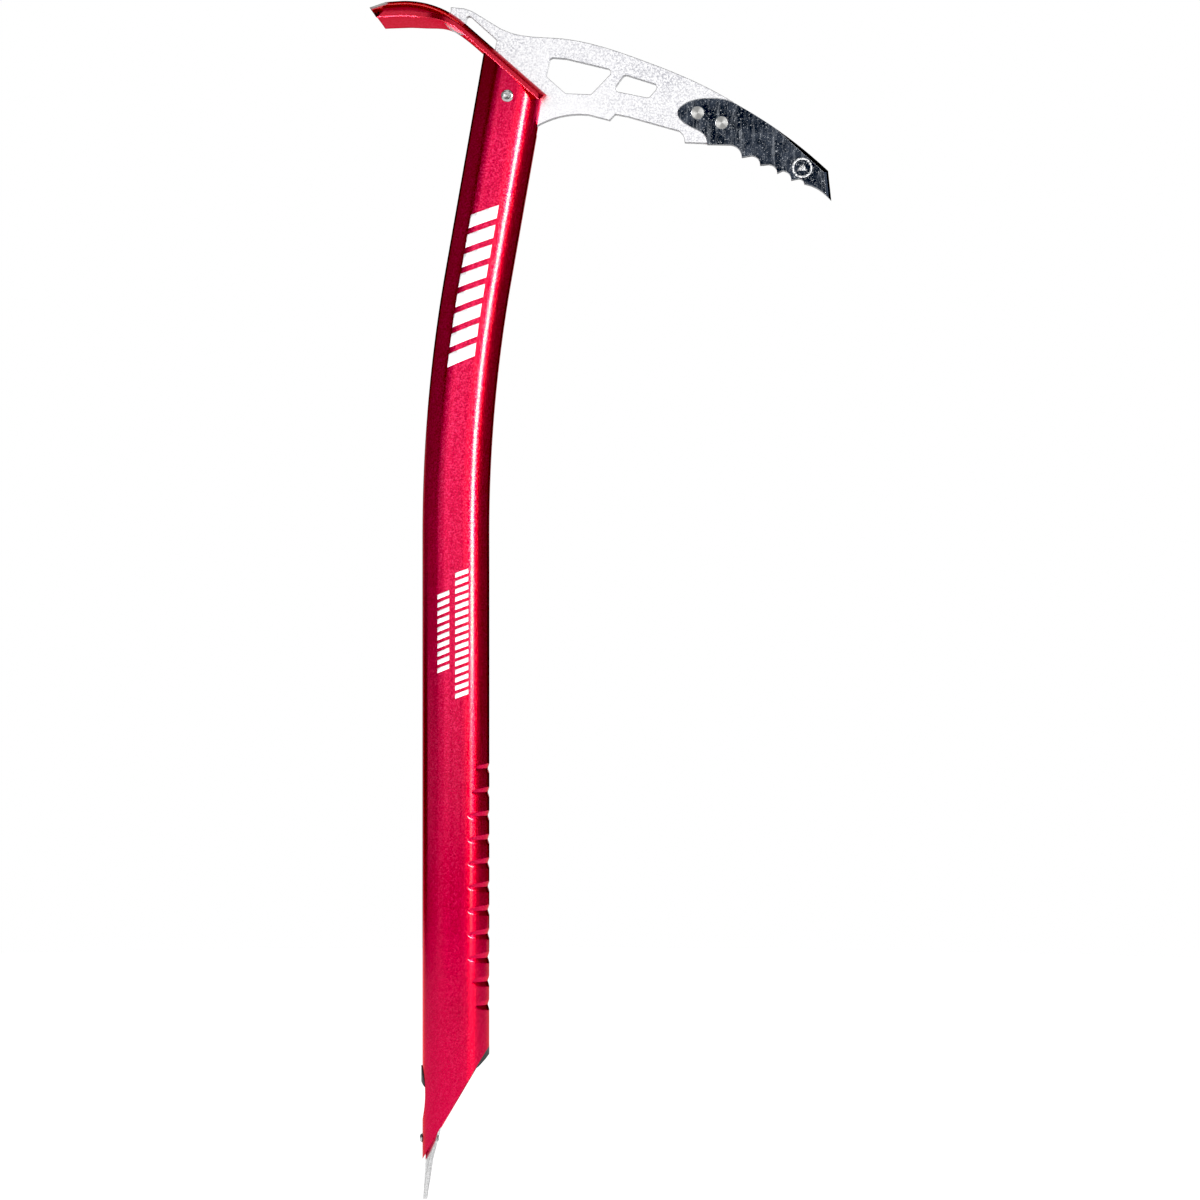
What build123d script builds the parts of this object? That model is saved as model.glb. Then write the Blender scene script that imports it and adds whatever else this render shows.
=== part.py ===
"""Light mountaineering ice axe: bent oval shaft, riveted head with an adze plate and a steel pick,
and a steel spike riveted into the slanted foot of the shaft.

Frame: +Z up along the lower shaft, +X towards the pick, origin at the point of the spike. Millimetres.
Side-view points are (x from the lower shaft's axis, height above the spike's point).
"""

import os
from math import atan2, cos, degrees, radians, sin, tan

from build123d import *

# ---------------------------------------------------------------- driving dimensions

AXIS_X = 13.0  # the lower shaft's axis, ahead of the spike's point

SHAFT_DEPTH = 28.0  # oval section, along the swing
SHAFT_WIDTH = 20.0  # oval section, across the swing
SHAFT_WALL = 1.3
BEND_START = 277.0  # height where the straight lower shaft ends
BEND_RADIUS = 625.0
BEND_ANGLE = 10.0
UPPER_LENGTH = 110.0  # straight upper shaft, before its top is cut

TOP_CUT_REAR = (12.0, 478.8)  # adze-side corner of the shaft's slanted top
TOP_CUT_ANGLE = 40.2
FOOT_CUT_TOE = (-14.4, 15.8)  # lowest point of the shaft's slanted foot
FOOT_CUT_ANGLE = 59.5

GROOVE_COUNT = 11
GROOVE_PITCH = 9.85
GROOVE_TOP = 179.8  # height of the highest grip groove
GROOVE_HEIGHT = 4.2
GROOVE_DEPTH = 0.66
GROOVE_REACH = 6.0  # how far forward the full-length grooves come
GROOVE_STEP = 1.6  # the end grooves are shorter by this much each

LANYARD_HOLE_Z = 44.3
LANYARD_HOLE_WIDTH = 9.0
LANYARD_HOLE_HEIGHT = 23.0

BLADE_THICKNESS = 4.5
BLADE_FIT = 0.1  # clearance on each side of the blade in its slots

ARCH_RADIUS = 29.0  # crown of the adze plate's arched section
PLATE_THICKNESS = 2.0
SEAT_HALF_WIDTH = 10.8
ADZE_HALF_WIDTH = 17.6
PLATE_LOW_END = (38.3, 460.3)
PLATE_BEND_START = (4.0, 490.5)
PLATE_BEND_RADIUS = 38.0
PLATE_BEND_ANGLE = 44.5
PLATE_GAP = 0.03  # between the plate's underside and the coped top of the shaft
FORK_START = 15.8
HOOK_SLOT = (-5.6, 4.9)
ADZE_STRAIGHT = 16.0  # straight stretch behind the edge, before the edge is cut
ADZE_TIP_X = -36.0
EDGE_ARC_RADIUS = 36.0  # plan radius of the adze's cutting edge
EDGE_BEVEL = 7.0  # length of the ground bevel on top of the edge, at the crown
EDGE_BEVEL_CORNER = 2.5  # and at the corners
EDGE_BLUNT = 0.15

PICK_TOP_FACET = (1.6, 0.8)  # width at the corner, depth lost there on each face
PICK_FRONT_FACET = (1.9, 0.6)
PICK_EDGE_FACET = (0.8, 0.9)  # second, steeper facet on the front edge
PICK_FACET_START = (133.0, 446.1)

HEAD_RIVET_AT = (22.3, 459.2)
HEAD_RIVET_SHANK = 2.0
HEAD_RIVET_RADIUS = 2.6
PICK_RIVETS_AT = {"rear": (101.0, 452.5), "front": (111.0, 448.3)}
PICK_RIVET_RADIUS = 2.6
PICK_RIVET_SHANK = 1.9
FILLER_RECESS = 1.5

SPIKE_THICKNESS = 1.6
SPIKE_TOP = 45.0
SPIKE_RIVET_Z = 25.4
SPIKE_RIVET_SHANK = 1.4
SPIKE_STEM_RADIUS = 0.6
SPIKE_SPLAY = 3.0
SPIKE_SPLAY_START = 18.0

PLUG_TOP = 92.0
PLUG_SKIN = 1.6
PLUG_FLOOR_Z = 68.0
BUTTON_PROUD = 0.5
BUTTON_FIT = 0.02

# ---------------------------------------------------------------- planes and shared shapes

BEND_END = (BEND_RADIUS * (1 - cos(radians(BEND_ANGLE))), BEND_START + BEND_RADIUS * sin(radians(BEND_ANGLE)))
TILT = (sin(radians(BEND_ANGLE)), cos(radians(BEND_ANGLE)))

SIDE = Plane(origin=(AXIS_X, 0, 0), x_dir=(1, 0, 0), z_dir=(0, -1, 0))
LOWER = Plane(origin=(AXIS_X, 0, 0), x_dir=(1, 0, 0), z_dir=(0, 0, 1))
UPPER = Plane(
    origin=(AXIS_X + BEND_END[0], 0, BEND_END[1]),
    x_dir=(TILT[1], 0, -TILT[0]),
    z_dir=(TILT[0], 0, TILT[1]),
)

OUTER = (SHAFT_DEPTH / 2, SHAFT_WIDTH / 2)
BORE = (OUTER[0] - SHAFT_WALL, OUTER[1] - SHAFT_WALL)
GOUGE = (BORE[0] - SPIKE_THICKNESS, BORE[1] - SPIKE_THICKNESS)
FAR = 700.0  # longer than any cut needs to be

PLATE_SLOPE = degrees(atan2(PLATE_BEND_START[1] - PLATE_LOW_END[1], PLATE_LOW_END[0] - PLATE_BEND_START[0]))
PLATE_HEADING = (-cos(radians(PLATE_SLOPE)), sin(radians(PLATE_SLOPE)))  # up the plate's straight part


def on_upper_axis(across, along):
    """Side-view point at that distance across and along the tilted upper shaft, from the end of the bend."""
    return (
        BEND_END[0] + across * TILT[1] + along * TILT[0],
        BEND_END[1] - across * TILT[0] + along * TILT[1],
    )


def below_line(point, angle, drop=0.0):
    """Large prism on the lower side of a slanted side-view line, angle degrees down towards +X."""
    down = (-sin(radians(angle)), -cos(radians(angle)))
    along = (cos(radians(angle)), -sin(radians(angle)))
    start = (point[0] + drop * down[0], point[1] + drop * down[1])
    corners = [
        (start[0] - FAR * along[0], start[1] - FAR * along[1]),
        (start[0] + FAR * along[0], start[1] + FAR * along[1]),
        (start[0] + FAR * (along[0] + down[0]), start[1] + FAR * (along[1] + down[1])),
        (start[0] + FAR * (down[0] - along[0]), start[1] + FAR * (down[1] - along[1])),
    ]
    with BuildPart() as prism:
        with BuildSketch(SIDE):
            with BuildLine():
                Polyline(*corners, close=True)
            make_face()
        extrude(amount=FAR, both=True)
    return prism.part


def oval_column(radii, low, high, plane=LOWER):
    """Solid oval column about the shaft's axis."""
    with BuildPart() as column:
        with BuildSketch(plane.offset(low)):
            Ellipse(*radii)
        extrude(amount=high - low)
    return column.part


def on_foot_cut(x):
    """Side-view point of the shaft's slanted foot."""
    return (x, FOOT_CUT_TOE[1] + (x - FOOT_CUT_TOE[0]) * tan(radians(FOOT_CUT_ANGLE)))


def quarter(start, end):
    """Arc that leaves start level and reaches end plumb."""
    across = end[0] - start[0]
    rise = end[1] - start[1]
    return ThreePointArc(start, (start[0] + across * sin(radians(45)), start[1] + rise * (1 - cos(radians(45)))), end)


def turned_profile(centre, points, axis_dir):
    """Solid of revolution. Points are (radius, distance along axis_dir from centre)."""
    x_dir = (0, 0, 1)
    plane = Plane(origin=centre, x_dir=x_dir, z_dir=Vector(*x_dir).cross(Vector(*axis_dir)))
    with BuildPart() as turned:
        with BuildSketch(plane):
            with BuildLine():
                Polyline(*points, close=True)
            make_face()
        revolve(axis=Axis(centre, axis_dir))
    return turned.part


def side_point(point, y=0.0):
    """Frame position of a side-view point."""
    return (AXIS_X + point[0], y, point[1])


# Square to the plate's straight part, at its low end: local x across the tool, local y down into the shaft.
PLATE_SECTION = Plane(
    origin=side_point(PLATE_LOW_END), x_dir=(0, 1, 0), z_dir=(PLATE_HEADING[0], 0, PLATE_HEADING[1])
)

# ---------------------------------------------------------------- side-view outlines of the head

ARM_END = (-1.9, 495.2)
HEAD_TOP_JOINT = (118.2, 455.4)  # the aluminium's top edge meets the steel here
PICK_CORNER = (155.2, 428.1)
PICK_POINT = (156.5, 415.7)
TOOTH_TIPS = [(119.3, 433.9), (126.9, 430.6), (134.0, 427.2), (139.8, 424.3), (145.2, 422.7)]
TOOTH_LANDS = [(123.4, 434.6), (130.4, 430.9), (136.4, 428.3), (142.9, 424.9)]
TANG_REAR = -9.3
TANG_FRONT = 11.6
TANG_END = 50.0


def blade_outline():
    """Aluminium blade: arm and hook at the rear, tang in the shaft, lap for the pick at the front."""
    with BuildSketch(SIDE) as sketch:
        with BuildLine():
            Line(ARM_END, (-1.9, 497.1))
            Line((-1.9, 497.1), (3.6, 496.6))
            ThreePointArc((3.6, 496.6), (5.4, 496.0), (7.4, 495.2))
            Line((7.4, 495.2), (16.6, 489.5))
            Spline(
                (16.6, 489.5), (24.5, 485.9), (43.7, 483.8), (60.7, 480.4), (76.9, 474.9), (101.9, 464.5),
                HEAD_TOP_JOINT,
            )
            ThreePointArc(HEAD_TOP_JOINT, (118.4, 446.5), (112.6, 439.4))
            Line((112.6, 439.4), (95.6, 440.2))
            ThreePointArc((95.6, 440.2), (94.9, 443.1), (93.2, 445.0))
            Polyline((93.2, 445.0), (71.8, 451.1), (66.7, 452.1), (64.3, 449.6), (55.6, 451.9))
            ThreePointArc((55.6, 451.9), (44.0, 451.3), (33.6, 447.2))
            Polyline(
                (33.6, 447.2),
                on_upper_axis(TANG_FRONT, 63.5),
                on_upper_axis(TANG_FRONT, TANG_END + 3),
                on_upper_axis(TANG_FRONT - 3, TANG_END),
                on_upper_axis(TANG_REAR + 3, TANG_END),
                on_upper_axis(TANG_REAR, TANG_END + 3),
                on_upper_axis(TANG_REAR, 97.6),
            )
            Line(on_upper_axis(TANG_REAR, 97.6), (6.6, 492.9))
            ThreePointArc((6.6, 492.9), (5.3, 493.2), (4.6, 492.0))
            Polyline((4.6, 492.0), (4.2, 489.6), (3.6, 486.1))
            Spline((3.6, 486.1), (1.5, 486.3), (-1.0, 487.4), (-5.0, 491.3))
            Line((-5.0, 491.3), ARM_END)
        make_face()
    return sketch.sketch


def steel_outline():
    """Steel pick: spoon-shaped root, toothed lower edge, chisel point."""
    with BuildSketch(SIDE) as sketch:
        with BuildLine():
            Spline(HEAD_TOP_JOINT, (133.0, 446.1), PICK_CORNER)
            Line(PICK_CORNER, PICK_POINT)
            Spline(PICK_POINT, (152.4, 419.6), (148.8, 421.7), TOOTH_TIPS[-1])
            for tip, land, following in zip(TOOTH_TIPS, TOOTH_LANDS, TOOTH_TIPS[1:]):
                Line(tip, land)
                quarter(land, following)
            quarter((113.9, 439.2), TOOTH_TIPS[0])
            Line((113.9, 439.2), (104.8, 439.4))
            Spline((104.8, 439.4), (103.4, 443.7), (97.6, 447.0), (92.6, 452.8), (96.4, 456.6), (104.3, 458.4),
                   (112.0, 457.9), HEAD_TOP_JOINT)
        make_face()
    return sketch.sketch


def head_holes():
    """The large clip-in eye and the small lightening hole, both with rounded corners."""
    with BuildSketch(SIDE) as sketch:
        with BuildLine():
            Polyline(
                (39.6, 475.9), (46.3, 475.3), (66.3, 470.4), (56.6, 460.4), (46.0, 460.9), (37.9, 468.1),
                close=True,
            )
        make_face()
        with BuildLine():
            Polyline((70.6, 468.6), (85.2, 463.9), (80.6, 458.8), (65.6, 461.9), close=True)
        make_face()
        fillet(sketch.vertices(), radius=1.6)
    return sketch.sketch


# ---------------------------------------------------------------- shaft


def groove_cutter(reach, height):
    """Band that cuts one grip groove of V section, from reach forward to the pick side."""
    half = GROOVE_HEIGHT / 2
    with BuildPart() as waisted:
        with BuildSketch(LOWER.offset(height - half)):
            Ellipse(*OUTER)
        with BuildSketch(LOWER.offset(height)):
            Ellipse(OUTER[0] - GROOVE_DEPTH, OUTER[1] - GROOVE_DEPTH)
        with BuildSketch(LOWER.offset(height + half)):
            Ellipse(*OUTER)
        loft(ruled=True)
    with BuildPart() as band:
        with BuildSketch(LOWER.offset(height - half)):
            with Locations((reach, 0)):
                Rectangle(SHAFT_DEPTH, 2 * SHAFT_WIDTH, align=(Align.MIN, Align.CENTER))
        extrude(amount=GROOVE_HEIGHT)
        add(waisted.part, mode=Mode.SUBTRACT)
    return band.part


groove_cutters = []
for number in range(GROOVE_COUNT):
    from_end = min(number, GROOVE_COUNT - 1 - number)
    reach = GROOVE_REACH + GROOVE_STEP * max(0, 2 - from_end)
    groove_cutters.append(groove_cutter(reach, GROOVE_TOP - number * GROOVE_PITCH))

with BuildPart() as shaft:
    with BuildLine(SIDE) as shaft_axis:
        Line((0, 0), (0, BEND_START))
        JernArc((0, BEND_START), (0, 1), BEND_RADIUS, -BEND_ANGLE)
        Line(BEND_END, on_upper_axis(0, UPPER_LENGTH))
    with BuildSketch(LOWER):
        Ellipse(*OUTER)
        Ellipse(*BORE, mode=Mode.SUBTRACT)
    sweep(path=shaft_axis.line)

    # Slanted top and foot, the top coped to the arch of the adze plate.
    add(below_line(TOP_CUT_REAR, 180 + TOP_CUT_ANGLE), mode=Mode.SUBTRACT)
    add(below_line(FOOT_CUT_TOE, -FOOT_CUT_ANGLE), mode=Mode.SUBTRACT)
    with BuildSketch(PLATE_SECTION):
        Rectangle(2 * SHAFT_WIDTH, 2 * ARCH_RADIUS)
        with Locations((0, ARCH_RADIUS)):
            Circle(ARCH_RADIUS - PLATE_THICKNESS - PLATE_GAP, mode=Mode.SUBTRACT)
        with Locations((0, ARCH_RADIUS)):
            Rectangle(2 * SHAFT_WIDTH, 2 * ARCH_RADIUS, align=(Align.CENTER, Align.MIN), mode=Mode.SUBTRACT)
    extrude(amount=2 * SHAFT_DEPTH, mode=Mode.SUBTRACT)

    # Grip grooves pressed into the pick side.
    add(groove_cutters, mode=Mode.SUBTRACT)

    # Lanyard hole in the front wall, half filled by the end plug.
    with BuildSketch(Plane.YZ):
        with Locations((0, LANYARD_HOLE_Z)):
            Ellipse(LANYARD_HOLE_WIDTH / 2, LANYARD_HOLE_HEIGHT / 2)
    extrude(amount=SHAFT_WALL * 4, both=True, mode=Mode.SUBTRACT)

    # Slot in the pick-side wall for the blade.
    with BuildSketch(SIDE):
        with BuildLine():
            Polyline(on_upper_axis(0, 64), on_upper_axis(20, 60.5), on_upper_axis(20, 110), on_upper_axis(0, 110),
                     close=True)
        make_face()
    extrude(amount=BLADE_THICKNESS / 2 + BLADE_FIT, both=True, mode=Mode.SUBTRACT)

    # Rivet holes for the head and the spike.
    with Locations(Plane(origin=side_point(HEAD_RIVET_AT), z_dir=(0, -1, 0))):
        Cylinder(HEAD_RIVET_SHANK, SHAFT_WIDTH * 2, mode=Mode.SUBTRACT)
    with Locations(Plane(origin=(0, 0, SPIKE_RIVET_Z), z_dir=(-1, 0, 0))):
        Cylinder(SPIKE_RIVET_SHANK, SHAFT_WALL * 6, mode=Mode.SUBTRACT)

shaft.part.label = "shaft"

# ---------------------------------------------------------------- head blade and pick

pick_rivet_profile = [
    (0, -BLADE_THICKNESS / 2),
    (PICK_RIVET_RADIUS, -BLADE_THICKNESS / 2),
    (PICK_RIVET_RADIUS, -1.8),
    (PICK_RIVET_SHANK, -1.1),
    (PICK_RIVET_SHANK, 1.1),
    (PICK_RIVET_RADIUS, 1.8),
    (PICK_RIVET_RADIUS, BLADE_THICKNESS / 2),
    (0, BLADE_THICKNESS / 2),
]
pick_rivets = {
    place: turned_profile(side_point(point), pick_rivet_profile, (0, 1, 0))
    for place, point in PICK_RIVETS_AT.items()
}

with BuildPart(mode=Mode.PRIVATE) as steel_near_half:
    extrude(steel_outline(), amount=BLADE_THICKNESS)

with BuildPart(mode=Mode.PRIVATE) as blade_far_half:
    extrude(blade_outline(), amount=-BLADE_THICKNESS)

with BuildPart() as head_blade:
    extrude(blade_outline(), amount=BLADE_THICKNESS / 2, both=True)
    extrude(head_holes(), amount=BLADE_THICKNESS, both=True, mode=Mode.SUBTRACT)
    add(steel_near_half.part, mode=Mode.SUBTRACT)
    add(list(pick_rivets.values()), mode=Mode.SUBTRACT)
    with Locations(Plane(origin=side_point(HEAD_RIVET_AT), z_dir=(0, -1, 0))):
        Cylinder(HEAD_RIVET_SHANK, SHAFT_WIDTH, mode=Mode.SUBTRACT)

head_blade.part.label = "head_blade"


def ground_facet(start, end, depth_per_width, lost=0.0):
    """Blocks that grind both faces of the pick beyond a side-view line, outward being on the line's left.

    lost is the depth already ground away at the line.
    """
    run = (Vector(end[0], 0, end[1]) - Vector(start[0], 0, start[1])).normalized()
    outward = run.cross(Vector(0, -1, 0)) * -1
    blocks = []
    for face in (-1, 1):
        normal = (outward * depth_per_width + Vector(0, face, 0)).normalized()
        origin = Vector(*side_point(start, face * (BLADE_THICKNESS / 2 - lost)))
        with BuildPart() as block:
            with BuildSketch(Plane(origin=origin, x_dir=run, z_dir=normal)):
                Rectangle(FAR / 4, FAR / 4)
            extrude(amount=SHAFT_WIDTH)
        blocks.append(block.part)
    return blocks


def inset(corner, far_end, width):
    """Side-view point that lies width inside the line from corner to far_end, level with corner."""
    run = (Vector(*far_end) - Vector(*corner)).normalized()
    return (corner[0] + run.Y * width, corner[1] - run.X * width)


top_width, top_depth = PICK_TOP_FACET
front_width, front_depth = PICK_FRONT_FACET
edge_width, edge_depth = PICK_EDGE_FACET
facets = ground_facet(PICK_FACET_START, inset(PICK_CORNER, (177.4, 410.1), top_width), top_depth / top_width)
facets += ground_facet(
    inset(PICK_CORNER, PICK_POINT, front_width),
    inset(PICK_POINT, (157.8, 403.3), front_width),
    front_depth / front_width,
)
facets += ground_facet(
    inset(PICK_CORNER, PICK_POINT, edge_width),
    inset(PICK_POINT, (157.8, 403.3), edge_width),
    edge_depth / edge_width,
    lost=front_depth * (1 - edge_width / front_width),
)

with BuildPart() as pick_plate:
    extrude(steel_outline(), amount=BLADE_THICKNESS / 2, both=True)
    add(blade_far_half.part, mode=Mode.SUBTRACT)
    add(list(pick_rivets.values()), mode=Mode.SUBTRACT)
    add(facets, mode=Mode.SUBTRACT)

pick_plate.part.label = "pick_plate"

for place, rivet in pick_rivets.items():
    rivet.label = f"pick_rivet_{place}"

# ---------------------------------------------------------------- adze plate

edge_centre_x = ADZE_TIP_X + EDGE_ARC_RADIUS

with BuildLine(SIDE) as crown:
    Line(PLATE_LOW_END, PLATE_BEND_START)
    bend = JernArc(PLATE_BEND_START, PLATE_HEADING, PLATE_BEND_RADIUS, PLATE_BEND_ANGLE)
    Line(bend @ 1, (bend @ 1) + (bend % 1) * ADZE_STRAIGHT)


def topside_drop(y):
    """How far the plate's upper face lies below its crown at that distance from the middle."""
    return ARCH_RADIUS - (ARCH_RADIUS**2 - y**2) ** 0.5


def underside_drop(y):
    """The same for its lower face."""
    return ARCH_RADIUS - ((ARCH_RADIUS - PLATE_THICKNESS) ** 2 - y**2) ** 0.5


def crown_height(x):
    """Height of the crown above the straight stretch behind the cutting edge."""
    start = bend @ 1
    heading = bend % 1
    return start.Z + (AXIS_X + x - start.X) * heading.Z / heading.X


# Ground bevel of the cutting edge: lofted through wedges that stand across it.
with BuildPart() as edge_grinding:
    for y in (-18, -12, -6, 0, 6, 12, 18):
        edge_x = edge_centre_x - (EDGE_ARC_RADIUS**2 - y**2) ** 0.5
        inner_x = edge_x + EDGE_BEVEL + (EDGE_BEVEL_CORNER - EDGE_BEVEL) * (y / ADZE_HALF_WIDTH) ** 2
        low = (edge_x, crown_height(edge_x) - underside_drop(y) + EDGE_BLUNT)
        high = (inner_x, crown_height(inner_x) - topside_drop(y))
        rise = (high[0] - low[0], high[1] - low[1])
        with BuildSketch(Plane(origin=(AXIS_X, y, 0), x_dir=(1, 0, 0), z_dir=(0, -1, 0))):
            with BuildLine():
                Polyline(
                    (low[0] - rise[0], low[1] - rise[1]),
                    (high[0] + rise[0], high[1] + rise[1]),
                    (low[0] - rise[0], high[1] + 2 * rise[1]),
                    close=True,
                )
            make_face()
    loft()

with BuildPart() as adze_plate:
    with BuildSketch(PLATE_SECTION):
        with Locations((0, ARCH_RADIUS)):
            Circle(ARCH_RADIUS)
            Circle(ARCH_RADIUS - PLATE_THICKNESS, mode=Mode.SUBTRACT)
        Rectangle(2 * ADZE_HALF_WIDTH + 2, ARCH_RADIUS, mode=Mode.INTERSECT)
    sweep(path=crown.line)

    # Plan outline: narrow over the shaft, flaring to the convex cutting edge.
    with BuildSketch(LOWER) as plan:
        with BuildLine():
            corner_x = edge_centre_x - (EDGE_ARC_RADIUS**2 - ADZE_HALF_WIDTH**2) ** 0.5
            low_end = PLATE_LOW_END[0] + 1
            Polyline((low_end, 0), (low_end, SEAT_HALF_WIDTH - 4), (low_end - 4, SEAT_HALF_WIDTH),
                     (8, SEAT_HALF_WIDTH))
            Spline(
                (8, SEAT_HALF_WIDTH), (-13, ADZE_HALF_WIDTH - 0.6), (corner_x, ADZE_HALF_WIDTH),
                tangents=[(-1, 0), (-1, 0)],
            )
            ThreePointArc(
                (corner_x, ADZE_HALF_WIDTH),
                (edge_centre_x - EDGE_ARC_RADIUS * cos(radians(14)), EDGE_ARC_RADIUS * sin(radians(14))),
                (ADZE_TIP_X, 0),
            )
            mirror(about=Plane.XZ)
        make_face()
    extrude(amount=FAR, mode=Mode.INTERSECT)

    # Fork that straddles the blade, and the slot for its hook.
    slot_width = BLADE_THICKNESS + 2 * BLADE_FIT
    with BuildSketch(LOWER):
        with Locations((FORK_START, 0)):
            Rectangle(40, slot_width, align=(Align.MIN, Align.CENTER))
        with Locations((HOOK_SLOT[0], 0)):
            Rectangle(HOOK_SLOT[1] - HOOK_SLOT[0], slot_width, align=(Align.MIN, Align.CENTER))
    extrude(amount=FAR, both=True, mode=Mode.SUBTRACT)

    add(edge_grinding.part, mode=Mode.SUBTRACT)

adze_plate.part.label = "adze_plate"

# ---------------------------------------------------------------- head rivet and tang fillers

dome_base = SHAFT_WIDTH / 2
dome_profile = [
    (HEAD_RIVET_SHANK, dome_base),
    (HEAD_RIVET_RADIUS, dome_base),
    (HEAD_RIVET_RADIUS, dome_base + 0.35),
    (HEAD_RIVET_RADIUS - 0.35, dome_base + 0.75),
    (HEAD_RIVET_RADIUS - 0.9, dome_base + 0.95),
    (HEAD_RIVET_RADIUS - 1.5, dome_base + 0.75),
    (0, dome_base + 0.45),
]
head_rivet = turned_profile(
    side_point(HEAD_RIVET_AT),
    dome_profile + [(radius, -height) for radius, height in reversed(dome_profile)],
    (0, 1, 0),
)
head_rivet.label = "head_rivet"

with BuildPart() as filler:
    add(oval_column(BORE, TANG_END - 4, 110, UPPER))
    add(below_line(TOP_CUT_REAR, TOP_CUT_ANGLE, drop=FILLER_RECESS), mode=Mode.INTERSECT)
    with BuildSketch(SIDE):
        with Locations((0, 400)):
            Rectangle(FAR, FAR)
    extrude(amount=BLADE_THICKNESS / 2, both=True, mode=Mode.SUBTRACT)
    with Locations(Plane(origin=side_point(HEAD_RIVET_AT), z_dir=(0, -1, 0))):
        Cylinder(HEAD_RIVET_SHANK, SHAFT_WIDTH * 2, mode=Mode.SUBTRACT)

tang_fillers = {}
for side, solid in zip(("near", "far"), filler.part.solids().sort_by(Axis.Y)):
    solid.label = f"tang_filler_{side}"
    tang_fillers[side] = solid

# ---------------------------------------------------------------- spike and its blind rivet

with BuildPart() as spike_plate:
    # Straight gouge inside the shaft, splayed a little below the foot.
    with BuildSketch(LOWER.offset(SPIKE_SPLAY_START)) as gouge:
        Ellipse(*BORE)
        Ellipse(*GOUGE, mode=Mode.SUBTRACT)
        with Locations((-BORE[0] / 2 - 2, 0)):
            Rectangle(BORE[0], SHAFT_WIDTH, mode=Mode.INTERSECT)
    extrude(amount=SPIKE_TOP - SPIKE_SPLAY_START)
    splay = (-sin(radians(SPIKE_SPLAY)), 0, -cos(radians(SPIKE_SPLAY)))
    extrude(gouge.sketch, amount=SPIKE_SPLAY_START / cos(radians(SPIKE_SPLAY)), dir=splay)

    # Rear edge seen from the side, and the point seen from the front.
    with BuildSketch(SIDE):
        with BuildLine():
            Polyline((-20, 0), (-11.9, 0), (-9.9, 16), (-7.3, 26.7), (-5.6, 36), (-5.6, 60), (-20, 60), close=True)
        make_face()
    extrude(amount=FAR, both=True, mode=Mode.INTERSECT)
    with BuildSketch(Plane.YZ):
        with BuildLine():
            Polyline((-0.6, 0), (0.6, 0), (4.4, 15), (9, 33), (9, 60), (-9, 60), (-9, 33), (-4.4, 15), close=True)
        make_face()
    extrude(amount=FAR, both=True, mode=Mode.INTERSECT)

    # Fork that leaves the lanyard hole open.
    with BuildSketch(Plane.YZ):
        with Locations((0, LANYARD_HOLE_Z + 10)):
            SlotOverall(LANYARD_HOLE_HEIGHT + 20, LANYARD_HOLE_WIDTH + 0.6, rotation=90)
    extrude(amount=FAR, both=True, mode=Mode.SUBTRACT)
    with Locations(Plane(origin=(0, 0, SPIKE_RIVET_Z), z_dir=(-1, 0, 0))):
        Cylinder(SPIKE_RIVET_SHANK, SHAFT_WALL * 6, mode=Mode.SUBTRACT)

spike_plate.part.label = "spike_plate"

spike_rivet_centre = (AXIS_X - OUTER[0], 0, SPIKE_RIVET_Z)
spike_rivet = turned_profile(
    spike_rivet_centre,
    [
        (SPIKE_STEM_RADIUS, 1.1), (1.2, 1.05), (1.7, 0.7), (1.95, 0),
        (SPIKE_RIVET_SHANK, 0), (SPIKE_RIVET_SHANK, -3.3), (1.9, -3.9), (1.9, -5.2), (1.4, -5.8),
        (SPIKE_STEM_RADIUS, -5.8),
    ],
    (-1, 0, 0),
)
spike_rivet.label = "spike_rivet"
spike_rivet_stem = turned_profile(
    spike_rivet_centre,
    [(0, 0.7), (SPIKE_STEM_RADIUS, 0.7), (SPIKE_STEM_RADIUS, -5.8), (1.2, -5.8), (1.2, -6.8), (0, -6.8)],
    (-1, 0, 0),
)
spike_rivet_stem.label = "spike_rivet_stem"

# ---------------------------------------------------------------- end plug

# Button that fills the upper half of the lanyard hole from inside and stands a little proud.
with BuildPart() as button:
    with BuildSketch(Plane.YZ):
        with Locations((0, LANYARD_HOLE_Z)):
            Ellipse(LANYARD_HOLE_WIDTH / 2 - BUTTON_FIT, LANYARD_HOLE_HEIGHT / 2 - BUTTON_FIT)
    extrude(amount=4, both=True)
    add(oval_column((OUTER[0] + BUTTON_PROUD, OUTER[1] + BUTTON_PROUD), 30, PLUG_TOP), mode=Mode.INTERSECT)
    with BuildSketch(SIDE):
        with BuildLine():
            Polyline((-12.3, 46.6), (-14.3, 49.0), (-15.5, 54.0), (-14.0, 60), (-8, 60), (-8, 46.6), close=True)
        make_face()
    extrude(amount=FAR, both=True, mode=Mode.INTERSECT)

# Lip that covers the sharp rear edge of the slanted foot.
with BuildPart() as lip:
    add(oval_column(OUTER, 40, 70))
    with BuildSketch(SIDE):
        with BuildLine():
            Polyline(on_foot_cut(8.6), on_foot_cut(14.2), (14.2, 60.9), (12.6, 58.7), (10.4, 56.3), close=True)
        make_face()
    extrude(amount=FAR, both=True, mode=Mode.INTERSECT)

# Cup that closes the bore, with a sloping floor.
with BuildPart() as end_plug:
    add(oval_column(BORE, 30, PLUG_TOP))
    with BuildSketch(SIDE):
        with BuildLine():
            Polyline((-30, 46.6), (-12.7, 46.6), (10.2, 57.0), (14, 63.3), (30, 63.3), (30, 0), (-30, 0), close=True)
        make_face()
    extrude(amount=FAR, both=True, mode=Mode.SUBTRACT)
    add(oval_column((BORE[0] - PLUG_SKIN, BORE[1] - PLUG_SKIN), PLUG_FLOOR_Z, PLUG_TOP), mode=Mode.SUBTRACT)
    add(button.part)
    add(lip.part)

end_plug.part.label = "end_plug"

# ---------------------------------------------------------------- written files

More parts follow.
